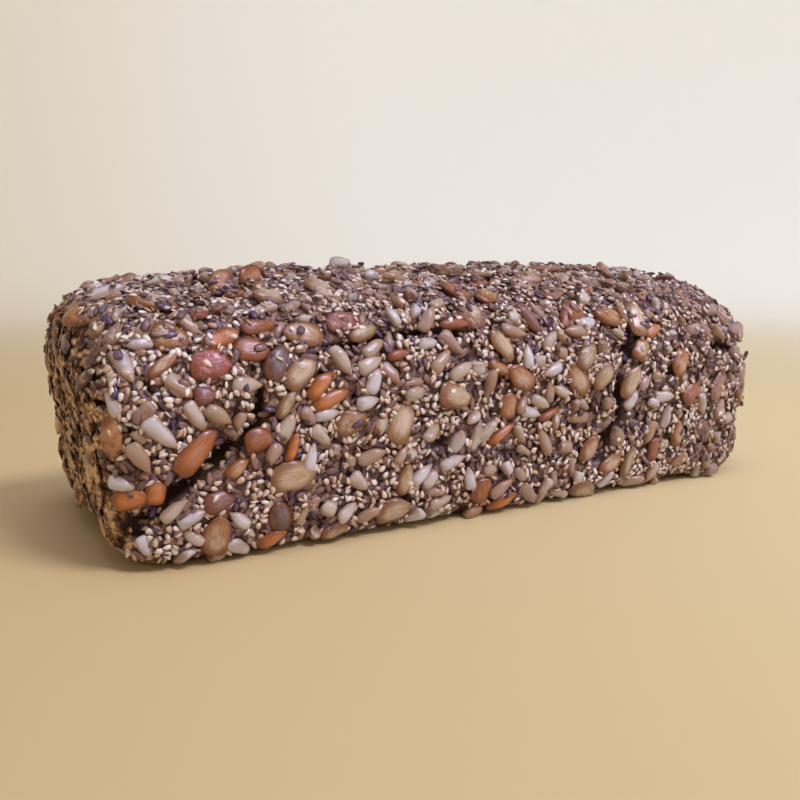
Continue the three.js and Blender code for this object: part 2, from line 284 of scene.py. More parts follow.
# How uneven the scene's crust is: how wide and how high or deep, in millimetres
WANDER_CHANCE = 7  # seeds the noise that folds wander by, or else Blender seeds it by the clock
WANDER_SIZE = 5.5
WANDER_REACH = 1.7
PIT_SIZE = 4.4
PIT_DEPTH = 2.4
END_PIT_SIZE = 3.6
END_PIT_DEPTH = 3.4
HOLLOW_SIZE = 9
CRUMB_SIZE = 2.1
CRUMB_HEIGHT = 1.1
UNDERSIDE_HEIGHT = 0.3

# How the scene lays its own seeds, in millimetres, radians and shares of their size
FINE_CHANCE = 90210
LARGE_CELL = 9.0
SMALL_CELL = 3.2
MORE_OVERLAP = 0.4  # of the listed seeds that the solid leaves out
SPOT = 0.3  # radius of the spot where a fine seed counts as on a large one
TURNS_TRIED = 4
ON_EDGE = 1.25
RESTING = 0.6  # of the height of the fine seeds under it, which a seed rises by
HIGHEST = 1.3
SUNK_ABOVE = 0.4  # into a large seed
HIGHEST_ABOVE = 2.3
MOST_GAP = 0.1  # between a fine seed and the firm surface under it
RAY_START = 8.0
LOWEST = 0.05
LARGE_FILM = 0.8  # of the dough that coats the crust beside a seed
FINE_FILM = 0.5
UINT32 = 0xFFFFFFFF

# Forms of each kind: whole ones, then broken ones and where each broke
WHOLE_FORMS = 5
BREAKS = (0.18, -0.05)


def srgb(red, green, blue):
    """A colour as it is seen on a screen, from 0 to 255, as linear light."""
    shares = (channel / 255 for channel in (red, green, blue))
    return tuple(s / 12.92 if s <= 0.04045 else ((s + 0.055) / 1.055) ** 2.4 for s in shares)


def chance(start):
    """Draws the same numbers from 0 to 1 in every run, as the solid's rule does."""
    state = start

    def draw():
        nonlocal state
        state = (state + 0x6D2B79F5) & UINT32
        mixed = (state ^ (state >> 15)) * (1 | state) & UINT32
        mixed ^= (mixed + (mixed ^ (mixed >> 7)) * (61 | mixed)) & UINT32
        return (mixed ^ (mixed >> 14)) / 4294967296

    return draw


def between(ends, share):
    return ends[0] + (ends[1] - ends[0]) * share


def eased(values, low, high):
    """From 0 to 1 as values go from low to high, eased at both ends."""
    share = np.clip((values - low) / (high - low), 0, 1)
    return share * share * (3 - 2 * share)


# The bread's form

def rounded_meet(first, second, radius):
    """Where two sides meet in a rounded edge: how far outside both a point is."""
    rounded = np.hypot(first + radius, second + radius) - radius
    return np.where((first > -radius) & (second > -radius), rounded, np.maximum(first, second))


def swell_at(points):
    x, y, z = points.T
    total = RIPPLE_HEIGHT * np.sin(x / 7.1 + z / 9.3) * np.sin(y / 6.7 - x / 15.1 + 1.7)
    for middle, reach, height in SWELLS:
        apart = ((points - middle) ** 2).sum(axis=1)
        total = total + height * np.exp(-apart / (reach * reach))
    return total


def outside_bread(points):
    """How far each point stands outside the bread, and less than nothing inside it."""
    x, y, z = points.T
    half_length = BREAD_LENGTH / 2 - END_FLARE * (1 - np.clip(z / BREAD_HEIGHT, 0, 1))
    along = (x / (BREAD_LENGTH / 2)) ** 2
    across = (y / (BREAD_WIDTH / 2)) ** 2
    crown = BREAD_HEIGHT - END_DROOP * along * along - SIDE_DROOP * across
    sides = rounded_meet(np.abs(x) - half_length, np.abs(y) - BREAD_WIDTH / 2, UPRIGHT_EDGE_RADIUS)
    topped = rounded_meet(sides, z - crown, TOP_EDGE_RADIUS)
    return rounded_meet(topped, -z - UNDERSIDE_TRIM, BOTTOM_EDGE_RADIUS) - swell_at(points)


def skin_points(box_points):
    """The skin's points that points of the box round the bread are drawn in to, towards the spine."""
    box_points = np.atleast_2d(np.asarray(box_points, float))
    feet = np.zeros_like(box_points)
    feet[:, 0] = np.clip(box_points[:, 0], -SPINE_HALF_LENGTH, SPINE_HALF_LENGTH)
    feet[:, 2] = SPINE_HEIGHT
    rays = box_points - feet
    rays /= np.linalg.norm(rays, axis=1)[:, None]
    inside = np.zeros(len(rays))
    outside = np.full(len(rays), float(FARTHEST_SKIN))
    for _ in range(HALVINGS):
        middle = (inside + outside) / 2
        within = outside_bread(feet + rays * middle[:, None]) < 0
        inside = np.where(within, middle, inside)
        outside = np.where(within, outside, middle)
    return feet + rays * inside[:, None]


def skin_normals(points):
    slope = np.empty_like(points)
    for axis in range(3):
        step = np.zeros(3)
        step[axis] = 0.5
        slope[:, axis] = outside_bread(points + step) - outside_bread(points - step)
    return slope / np.linalg.norm(slope, axis=1)[:, None]


def patches(points, size, offset=0.0):
    """Smooth noise either side of nothing, in patches of that size in millimetres."""
    shift = Vector((offset, offset, offset))
    return np.array([noise.noise(Vector(p) / size + shift) for p in points])


def fold_lines():
    """Each fold's line as closely spaced points on the skin, with its depth and half width."""
    lines = []
    for depth, half_width, path in FOLDS:
        path = np.array(path, float)
        runs = np.linspace(0, len(path) - 1, 12 * len(path))
        line = np.stack([np.interp(runs, range(len(path)), path[:, axis]) for axis in range(3)], axis=1)
        lines.append((depth, half_width, skin_points(line)))
    return lines


FOLD_LINES = fold_lines()


def relief(points, normals):
    """How far folds and pits cut in at each point, and the folds' lips stand out, in millimetres."""
    noise.seed_set(WANDER_CHANCE)
    drift = np.array([noise.noise_vector(Vector(p) / WANDER_SIZE) for p in points])
    wandering = points + WANDER_REACH * drift
    cut = np.zeros(len(points))
    lip = np.zeros(len(points))
    for depth, half_width, line in FOLD_LINES:
        nearest = np.full(len(points), np.inf)
        for spot in line:
            nearest = np.minimum(nearest, ((wandering - spot) ** 2).sum(axis=1))
        to_ends = [np.linalg.norm(points - tip, axis=1) for tip in (line[0], line[-1])]
        fade = np.clip(np.minimum(*to_ends) / 6 + 0.35, 0, 1)
        away = np.sqrt(nearest) / half_width
        cut = np.maximum(cut, 1.75 * depth * fade * np.exp(-((away / 0.95) ** 2)))
        lip = np.maximum(lip, 0.2 * depth * fade * np.exp(-(((away - 2.6) / 1.1) ** 2)))
    end = on_left_end(normals)
    pits = PIT_DEPTH * eased(patches(points, PIT_SIZE, 11), 0.22, 0.55) * (1 - end)
    pits += END_PIT_DEPTH * eased(patches(points * (1, 0.75, 1), END_PIT_SIZE, 17), 0.12, 0.45) * end
    for middle, reach, deep in HOLES:
        apart = ((wandering - middle) ** 2).sum(axis=1)
        pits = np.maximum(pits, deep * np.exp(-apart / (reach * reach)))
    return np.maximum(cut, pits) - lip


def coated(points, normals):
    """Where dough coats the seeds, from 0 to 1: on top, on the ends and in patches elsewhere."""
    ends = eased(points[:, 0], 68, 100) * 0.7 - eased(-points[:, 0], 84, 104) * 0.1
    return np.clip(0.5 * on_top(normals) + ends + on_left_end(normals) + 1.1 * patches(points, 15, 7), 0, 1)


def covered(points, normals):
    """Where fine seed lies on the large seeds too: now and then, on top, and high up by the left end."""
    flat = eased(normals[:, 2], 0.45, 0.85)
    right = eased(points[:, 0], 68, 100)
    return np.clip(0.02 + 0.8 * flat + 0.15 * upper_left(points) + 0.3 * right, 0, 1)


def upper_left(points):
    return eased(-points[:, 0], 84, 102) * eased(points[:, 2], 36, 52)


def hollows(points, normals):
    """How far the crust dips and swells besides its folds and pits, most where dough coats it."""
    swelling = (0.7 + 1.6 * on_top(normals)) * patches(points, HOLLOW_SIZE, 30)
    return swelling * (1 + 0.6 * on_left_end(normals))


def on_top(normals):
    return eased(normals[:, 2], 0.2, 0.75)


def on_left_end(normals):
    return eased(-normals[:, 0], 0.6, 0.92)


def nearest_fold(point):
    """From a point to the edge of the fold nearest to it, as the solid's rule measures it."""
    nearest = math.inf
    for _, half_width, path in FOLDS:
        for start, end in zip(path, path[1:]):
            start = np.array(start, float)
            run = np.array(end, float) - start
            share = min(1, max(0, float((point - start) @ run / (run @ run))))
            nearest = min(nearest, float(np.linalg.norm(start + share * run - point)) - half_width)
    return nearest


# Laying the seeds

class Seed(NamedTuple):
    """One seed: its place on the skin, size, lie, tone, and how far it is sunk, lowered and risen."""

    skin: np.ndarray
    normal: np.ndarray
    size: tuple
    turn: float
    leans: tuple
    tone: float
    sunk: float
    lowered: float = 0.0
    risen: float = 0.0
    whole: bool = True

    def room(self):
        return (self.size[0] + self.size[1]) / 4

    def matrix(self):
        """The way that it lies: its length turned from the loaf's, its flat side on the skin."""
        level = Vector((0, 1, 0)) if abs(self.normal[0]) > 0.8 else Vector((1, 0, 0))
        normal = Vector(self.normal)
        along = (level - normal * level.dot(normal)).normalized()
        lying = Matrix((along, normal.cross(along), normal)).transposed()
        turned = Matrix.Rotation(self.turn, 3, "Z") @ Matrix.Rotation(self.leans[1], 3, "X")
        return lying @ turned @ Matrix.Rotation(self.leans[0], 3, "Y")

    def centre(self):
        return self.skin + self.normal * (self.size[2] * (0.5 - self.sunk) + self.risen - self.lowered)

    def discs(self):
        """One to four discs that cover it, along its length."""
        along = self.matrix().col[0]
        length, width, thickness = self.size
        edge = abs(math.sin(self.leans[1]))
        width = width * (1 - edge) + thickness * edge
        count = max(1, min(4, round(1.35 * length / width)))
        half_run = max(0, (length - width) / 2)
        x, y, z = self.skin
        top = thickness * (1 - self.sunk) + self.risen
        discs = []
        for i in range(count):
            off = half_run * (2 * i / (count - 1) - 1) if count > 1 else 0
            discs.append((x + along[0] * off, y + along[1] * off, z + along[2] * off, width / 2, top))
        return discs


ROUND_A_CELL = tuple((i, j, k) for i in (-1, 0, 1) for j in (-1, 0, 1) for k in (-1, 0, 1))


class Ground:
    """The discs that the seeds so far cover, filed by cell, so that the next ones find room."""

    def __init__(self, cell):
        self.cell = cell
        self.cells = {}

    def key(self, disc):
        return tuple(math.floor(v / self.cell) for v in disc[:3])

    def add(self, seed):
        """Files each of its discs under its own cell and all those round it."""
        for disc in seed.discs():
            i, j, k = self.key(disc)
            for di, dj, dk in ROUND_A_CELL:
                self.cells.setdefault((i + di, j + dj, k + dk), []).append(disc)

    def free(self, discs, overlap):
        """Whether discs stay clear of those that lie there, but for that share of overlap."""
        clear = 1 - overlap
        for disc in discs:
            x, y, z, radius = disc[:4]
            for ox, oy, oz, reach, _ in self.cells.get(self.key(disc), ()):
                if (x - ox) ** 2 + (y - oy) ** 2 + (z - oz) ** 2 < ((radius + reach) * clear) ** 2:
                    return False
        return True

    def height(self, point):
        """How high the seeds that cover a point stand there."""
        x, y, z = point
        highest = 0
        for ox, oy, oz, reach, top in self.cells.get(self.key(point), ()):
            share = ((x - ox) ** 2 + (y - oy) ** 2 + (z - oz) ** 2) / reach ** 2
            if share < 1:
                highest = max(highest, top * math.sqrt(1 - share))
        return highest


def standing_out_seeds(kind, rows):
    thickness = between(kind["thickness"], 0.5)
    skins = skin_points([(x, FRONT, z) for x, z, *_ in rows])
    normals = skin_normals(skins)
    seeds = []
    for row, (_, _, length, width, turn, tone) in enumerate(rows):
        leans = (math.sin(row) / 2 * MOST_LEAN, math.cos(row) / 2 * MOST_LEAN)
        size = (length, width, thickness)
        seeds.append(Seed(skins[row], normals[row], size, math.radians(turn), leans, tone, kind["sunk"]))
    return seeds


def any_box_point(draw):
    """A point anywhere on the box but its underside, each side drawn as often as it is large."""
    long_side = BREAD_LENGTH * BREAD_HEIGHT
    end = BREAD_WIDTH * BREAD_HEIGHT
    areas = (long_side, long_side, BREAD_LENGTH * BREAD_WIDTH, end, end)
    left = draw() * sum(areas)
    side = 0
    for i, area in enumerate(areas):
        side = i
        left -= area
        if left < 0:
            break
    u = draw() - 0.5
    v = draw()
    return (
        (u * BREAD_LENGTH, FRONT, v * BREAD_HEIGHT),
        (u * BREAD_LENGTH, BACK, v * BREAD_HEIGHT),
        (u * BREAD_LENGTH, (v - 0.5) * BREAD_WIDTH, BREAD_HEIGHT),
        (-BREAD_LENGTH / 2, u * BREAD_WIDTH, v * BREAD_HEIGHT),
        (BREAD_LENGTH / 2, u * BREAD_WIDTH, v * BREAD_HEIGHT),
    )[side]


def scatter_seeds(kind, count, others, seeds, draw, tone_draw):
    """Adds seeds where the solid's rule puts them."""
    wanted = len(seeds) + count
    for _ in range(count * TRIES_PER_SEED):
        if len(seeds) == wanted:
            break
        box_point = any_box_point(draw)
        length = between(kind["length"], draw())
        width = length * between(kind["width"], draw())
        thickness = between(kind["thickness"], draw())
        turn = math.radians(360 * draw())
        leans = ((2 * draw() - 1) * MOST_LEAN, (2 * draw() - 1) * MOST_LEAN)
        skin = skin_points([box_point])
        room = (length + width) / 4
        crowded = any(
            np.linalg.norm(skin[0] - other.skin) < CLEARANCE * (other.room() + room)
            for other in (*others, *seeds)
        )
        if not crowded and nearest_fold(skin[0]) > FOLD_CLEARANCE * width:
            size = (length, width, thickness)
            normal = skin_normals(skin)[0]
            seeds.append(Seed(skin[0], normal, size, turn, leans, tone_draw(), kind["sunk"]))


def toasting(dice):
    """A pumpkin kernel's tone: mostly greige to orange, now and then red to dark."""
    return dice.uniform(RED, DARK) if dice.random() < 0.12 else dice.triangular(0, RUST, GREIGE)


def solid_seeds(dice):
    """The large seeds that are fused to the solid, in the order that its rule lays them."""
    draw = chance(CHANCE_START)
    pumpkins = standing_out_seeds(PUMPKIN, FRONT_PUMPKINS)
    sunflowers = standing_out_seeds(SUNFLOWER, FRONT_SUNFLOWERS)
    scatter_seeds(PUMPKIN, SOLID_PUMPKIN_COUNT, sunflowers, pumpkins, draw, lambda: toasting(dice))
    scatter_seeds(SUNFLOWER, SOLID_SUNFLOWER_COUNT, pumpkins, sunflowers, draw, dice.random)
    return pumpkins, sunflowers


def firm_surface(names):
    """What fine seed rests on, the crust and the large seeds, as one surface to cast rays at."""
    places = []
    faces = []
    for name in names:
        mesh = bpy.data.objects[name].data
        first = len(places)
        places += [vertex.co / MM for vertex in mesh.vertices]
        faces += [[first + corner for corner in face.vertices] for face in mesh.polygons]
    return BVHTree.FromPolygons(places, faces)


def height_over_skin(firm, skin, normal):
    """How high the firm surface stands over a point of the bread's skin, or None where it has none."""
    distance = firm.ray_cast(Vector(skin + normal * RAY_START), Vector(-normal), 2 * RAY_START)[3]
    return None if distance is None else RAY_START - distance


def fill(kind, count, wanted, large, own, under, dice, toned=random.Random.random, firm=None):
    """Up to count seeds of a kind, where there is room for them or, now and then, on a large one."""
    skins = skin_points([any_box_point(dice.random) for _ in range(kind["tries"])])
    normals = skin_normals(skins)
    cut = relief(skins, normals)
    lowered = cut + hollows(skins, normals)
    covers = kind["covers"] * covered(skins, normals)
    shares = wanted(skins, normals) * (1 - kind["shuns_folds"] * eased(cut, 1.2, 3))
    pressed = eased(-normals[:, 0], 0.6, 0.95)
    # Painted shade: down the folds, seeds draw tones nearer 1, the dark end of most ramps.
    darker = 1 - 0.75 * eased(cut, 0.4, 2)
    deeper = 0.15 * on_top(normals)
    overlap = kind["overlap"]
    seeds = []
    for i in range(len(skins)):
        if len(seeds) == count:
            break
        length = between(kind["length"], dice.random())
        size = (
            length,
            length * between(kind["width"], dice.random()),
            between(kind["thickness"], dice.random()),
        )
        spot = (*skins[i], SPOT)
        if dice.random() > shares[i] or skins[i][2] < 0.3 * size[1]:
            continue
        above = not large.free((spot,), overlap)
        if above and dice.random() > covers[i]:
            continue
        rest = RESTING * (1 - pressed[i]) * max((g.height(skins[i]) for g in under), default=0)
        level = height_over_skin(firm, skins[i], normals[i]) if firm else 0.0
        if level is None or (above and level > HIGHEST_ABOVE):
            continue
        risen = level if above else min(rest, HIGHEST)
        grounds = [ground for ground in (None if above else large, own) if ground]
        for _ in range(TURNS_TRIED):
            lean = kind["lean"] * (1 - 0.75 * pressed[i]) * (1 - 0.4 * min(1, max(0, risen) / HIGHEST))
            on_edge = ON_EDGE if dice.random() < kind["on_edge"] * (1 - pressed[i]) else 0
            leans = (dice.gauss(0, lean), dice.gauss(on_edge, lean))
            sunk = between(kind["sunk"], dice.random()) * (1 - 0.5 * pressed[i]) + 0.5 * pressed[i]
            sunk += deeper[i]
            low = float(lowered[i])
            if above:
                sunk, low = SUNK_ABOVE, 0.0
            elif firm and rest == 0:
                low = max(low, -sunk * size[2] - level - MOST_GAP)
            turn = dice.gauss(0, 0.4) if pressed[i] > 0.5 else dice.uniform(0, 2 * math.pi)
            tone = toned(dice) ** darker[i]
            seed = Seed(skins[i], normals[i], size, turn, leans, tone, sunk, low, risen, False)
            discs = seed.discs()
            if all(ground.free(discs, overlap) for ground in grounds):
                seeds.append(seed)
                if own:
                    own.add(seed)
                break
    return seeds


def sunflowers_wanted(points, normals):
    return 1 - 0.8 * on_left_end(normals)


def pumpkins_wanted(points, normals):
    return eased(normals[:, 1], -0.8, -0.4) * (0.25 + 0.75 * on_top(normals) - 0.2 * on_left_end(normals))


def linseeds_wanted(points, normals):
    return 1 - 0.5 * on_left_end(normals) - 0.3 * eased(patches(points, 9, 3), 0.1, 0.3)


def sesames_wanted(points, normals):
    clusters = np.maximum(eased(patches(points, 7, 3), 0.16, -0.1), 0.8 * upper_left(points))
    left = eased(-points[:, 0], 45, 75)
    high = on_top(normals) * 0.45
    return (0.08 + 0.92 * clusters) * np.clip(1 - 0.2 * left - high - 0.5 * on_left_end(normals), 0.05, 1)


def flakes_wanted(points, normals):
    return (0.35 + 0.65 * covered(points, normals)) * (1 - 0.5 * on_left_end(normals))


# Forms of the seeds, one unit long, wide and thick

def form_mesh(name, shape, faces, places, flat):
    """A form's mesh, which keeps as an attribute where each point was before it was warped."""
    mesh = bpy.data.meshes.new(name)
    mesh.from_pydata(shape, [], faces, shade_flat=flat)
    kept = mesh.attributes.new("seed_place", "FLOAT_VECTOR", "POINT")
    kept.data.foreach_set("vector", np.array(places, np.float32).ravel())
    return mesh


def round_form(name, sides, rings, half_width, half_height, warp):
    """A closed form along X, from its widths and heights along it, with the warp of a point applied."""
    stations = -np.cos(np.linspace(0, math.pi, rings + 1))[1:-1]
    places = [(-0.5, 0, 0)]
    for t in stations:
        for side in range(sides):
            angle = 2 * math.pi * side / sides
            y = half_width(t) * math.cos(angle)
            z = half_height(t, math.cos(angle)) * math.sin(angle)
            places.append((t / 2, y, z))
    places.append((0.5, 0, 0))
    last = len(places) - 1
    faces = [(0, 1 + (s + 1) % sides, 1 + s) for s in range(sides)]
    for ring in range(len(stations) - 1):
        low = 1 + ring * sides
        for s in range(sides):
            n = (s + 1) % sides
            faces.append((low + s, low + n, low + sides + n, low + sides + s))
    top = 1 + (len(stations) - 1) * sides
    faces += [(last, top + s, top + (s + 1) % sides) for s in range(sides)]
    return form_mesh(name, [warp(Vector(p)) for p in places], faces, places, False)


def seed_warp(dice, bend, roughness, snapped=None):
    """A gentle bend and some dents, other for each form, and an end broken off where one is asked for."""
    curl = dice.uniform(-bend, bend)
    sideways = dice.uniform(-bend, bend) * 0.6
    offset = Vector((dice.uniform(-50, 50), dice.uniform(-50, 50), dice.uniform(-50, 50)))

    def warp(p):
        dent = noise.noise(Vector((p.x * 2.2, p.y * 2.2, p.z)) + offset) * roughness
        x = p.x
        if snapped is not None:
            ragged = snapped + 0.1 * noise.noise(Vector((0, p.y * 6, p.z * 4)) + offset) + 0.12 * p.y
            x = min(x, ragged)
        return Vector((
            x,
            p.y * (1 + dent) + sideways * (x * x - 0.1),
            p.z * (1 + 1.5 * dent) + curl * (x * x - 0.1),
        ))

    return warp


def drop(t, blunt=0.5, blunter=0.0, taper=0.0):
    """Half a drop's breadth at t, from -1 to 1, by how blunt it is, more so at its tip, and its taper."""
    return 0.5 * max(0, 1 - t * t) ** (blunt + blunter * t) * (1 - taper * t)


def pumpkin_form(name, dice, snapped=None):
    """A flat drop with a raised margin."""
    taper = PUMPKIN["taper"] + dice.uniform(-0.05, 0.1)

    def half_width(t):
        return drop(t, 0.46, 0.14, taper)

    def half_height(t, side):
        groove = 0.17 * math.exp(-(((abs(side) - 0.84) / 0.1) ** 2))
        return drop(t, 0.42) * (1 - groove)

    return round_form(name, 18, 20, half_width, half_height, seed_warp(dice, 0.12, 0.22, snapped))


def sunflower_form(name, dice, snapped=None):
    """A plump drop, blunt at one end and pointed at the other, with shallow flutes."""
    taper = SUNFLOWER["taper"] + dice.uniform(-0.06, 0.1)

    def half_width(t):
        return drop(t, 0.5, 0.2, taper)

    def half_height(t, side):
        flutes = 1 + 0.06 * math.cos(9 * math.acos(max(-1, min(1, side))))
        return drop(t, taper=0.5 * taper) * flutes

    return round_form(name, 12, 12, half_width, half_height, seed_warp(dice, 0.07, 0.25, snapped))


def linseed_form(name, dice, snapped=None):
    """A flat almond with one sharp tip."""
    def half_width(t):
        return drop(t, 0.5, 0.2, 0.2)

    def half_height(t, _side):
        return drop(t)

    return round_form(name, 6, 4, half_width, half_height, seed_warp(dice, 0.1, 0.2, snapped))


def sesame_form(name, dice, snapped=None):
    """A small flat drop."""
    def half_width(t):
        return 1.08 * drop(t, taper=0.42)

    def half_height(t, _side):
        return drop(t, taper=0.3)

    return round_form(name, 5, 4, half_width, half_height, seed_warp(dice, 0.1, 0.14))


def flake_form(name, dice, snapped=None):
    """A chip of husk or dough with ragged corners, a little curled."""
    corners = 5
    curl = dice.uniform(-0.5, 0.5)
    rim = []
    for i in range(corners):
        angle = 2 * math.pi * (i + dice.uniform(-0.3, 0.3)) / corners
        reach = dice.uniform(0.3, 0.52)
        rim.append((reach * math.cos(angle), reach * math.sin(angle)))
    places = []
    for level, shrink in ((-0.5, 1.0), (0.5, 0.78)):
        for x, y in rim:
            z = level + curl * 8 * (x * x - 0.1) + dice.uniform(-0.2, 0.2)
            places.append((x * shrink, y * shrink, z))
    faces = [tuple(reversed(range(corners))), tuple(range(corners, 2 * corners))]
    for i in range(corners):
        n = (i + 1) % corners
        faces.append((i, n, corners + n, corners + i))
    return form_mesh(name, places, faces, places, True)


# Geometry Nodes that lay a form at every point

def seed_nodes():
    tree = bpy.data.node_groups.new("lay_seeds", "GeometryNodeTree")
    face = tree.interface
    sockets = {}
    kinds = {"Geometry": "Geometry", "Seed forms": "Collection", "Plumpness": "Float", "Finish": "Material"}
    for name, kind in kinds.items():
        sockets[name] = face.new_socket(name, in_out="INPUT", socket_type="NodeSocket" + kind).identifier
    face.new_socket("Geometry", in_out="OUTPUT", socket_type="NodeSocketGeometry")

    def add(kind, **values):
        made = tree.nodes.new(kind)
        for name, value in values.items():
            setattr(made, name, value)
        return made

    def named(attribute, kind):
        made = add("GeometryNodeInputNamedAttribute", data_type=kind)
        made.inputs["Name"].default_value = attribute
        return made.outputs["Attribute"]

    start = add("NodeGroupInput")
    forms = add("GeometryNodeCollectionInfo")
    forms.inputs["Separate Children"].default_value = True
    forms.inputs["Reset Children"].default_value = True
    plumper = add("ShaderNodeVectorMath", operation="MULTIPLY")
    thicker = add("ShaderNodeCombineXYZ")
    thicker.inputs["X"].default_value = thicker.inputs["Y"].default_value = 1.0
    lay = add("GeometryNodeInstanceOnPoints")
    lay.inputs["Pick Instance"].default_value = True
    real = add("GeometryNodeRealizeInstances")
    paint = add("GeometryNodeSetMaterial")
    end = add("NodeGroupOutput")
    for source, socket in (
        (start.outputs["Geometry"], lay.inputs["Points"]),
        (start.outputs["Seed forms"], forms.inputs["Collection"]),
        (forms.outputs["Instances"], lay.inputs["Instance"]),
        (named("form", "INT"), lay.inputs["Instance Index"]),
        (named("turned", "QUATERNION"), lay.inputs["Rotation"]),
        (named("size", "FLOAT_VECTOR"), plumper.inputs[0]),
        (start.outputs["Plumpness"], thicker.inputs["Z"]),
        (thicker.outputs["Vector"], plumper.inputs[1]),
        (plumper.outputs["Vector"], lay.inputs["Scale"]),
        (lay.outputs["Instances"], real.inputs["Geometry"]),
        (real.outputs["Geometry"], paint.inputs["Geometry"]),
        (start.outputs["Finish"], paint.inputs["Material"]),
        (paint.outputs["Geometry"], end.inputs["Geometry"]),
    ):
        tree.links.new(source, socket)
    return tree, sockets


def laid_piece(name, seeds, make_form, finish, slot_name, filmed=1.0, plumpness=1.0):
    """One mesh of every seed of a kind, laid by Geometry Nodes and made plain."""
    dice = random.Random(name)
    shelf = bpy.data.collections.new(name + "_forms")
    bpy.context.scene.collection.children.link(shelf)
    forms = []
    for i, snapped in enumerate((*[None] * WHOLE_FORMS, *BREAKS)):
        form = bpy.data.objects.new(f"{name}_form_{i}", make_form(f"{name}_form_{i}", dice, snapped))
        shelf.objects.link(form)
        forms.append(form)

    cloud = bpy.data.meshes.new(name + "_points")
    cloud.from_pydata([Vector(seed.centre()) * MM for seed in seeds], [], [])
    normals = np.array([seed.normal for seed in seeds])
    ends = on_left_end(normals)
    sizes = np.array([seed.size for seed in seeds]) * MM
    sizes[:, 2] *= 1 - 0.5 * ends
    picks = [dice.randrange(WHOLE_FORMS if seed.whole else len(forms)) for seed in seeds]
    for attribute, kind, field, values in (
        ("size", "FLOAT_VECTOR", "vector", sizes),
        ("turned", "QUATERNION", "value", [seed.matrix().to_quaternion() for seed in seeds]),
        ("form", "INT", "value", picks),
        ("tone", "FLOAT", "value", [seed.tone for seed in seeds]),
        ("film", "FLOAT", "value", filmed * coated(np.array([seed.skin for seed in seeds]), normals)),
        ("end", "FLOAT", "value", ends),
    ):
        values = np.array(values, np.int32 if kind == "INT" else np.float32)
        cloud.attributes.new(attribute, kind, "POINT").data.foreach_set(field, values.ravel())
    piece = bpy.data.objects.new(name, cloud)
    bpy.context.scene.collection.objects.link(piece)

    tree, sockets = seed_nodes()
    layer = piece.modifiers.new("Lay seeds", "NODES")
    layer.node_group = tree
    layer[sockets["Seed forms"]] = shelf
    layer[sockets["Plumpness"]] = plumpness
    layer[sockets["Finish"]] = finish
    depsgraph = bpy.context.evaluated_depsgraph_get()
    laid = bpy.data.meshes.new_from_object(piece.evaluated_get(depsgraph), depsgraph=depsgraph)
    piece.modifiers.clear()
    piece.data = laid
    laid.name = name
    for spent in ("size", "turned", "form"):
        if spent in laid.attributes:
            laid.attributes.remove(laid.attributes[spent])
    for form in forms:
        bpy.data.objects.remove(form)
    bpy.data.collections.remove(shelf)
    rest_on_table(laid)
    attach(piece, "root")


def rest_on_table(mesh):
    """Presses flat what would reach through the table."""
    places = np.empty(len(mesh.vertices) * 3, np.float32)
    mesh.vertices.foreach_get("co", places)
    places = places.reshape(-1, 3)
    places[:, 2] = np.maximum(places[:, 2], LOWEST * MM)
    mesh.vertices.foreach_set("co", places.ravel())
    mesh.update()


# Materials

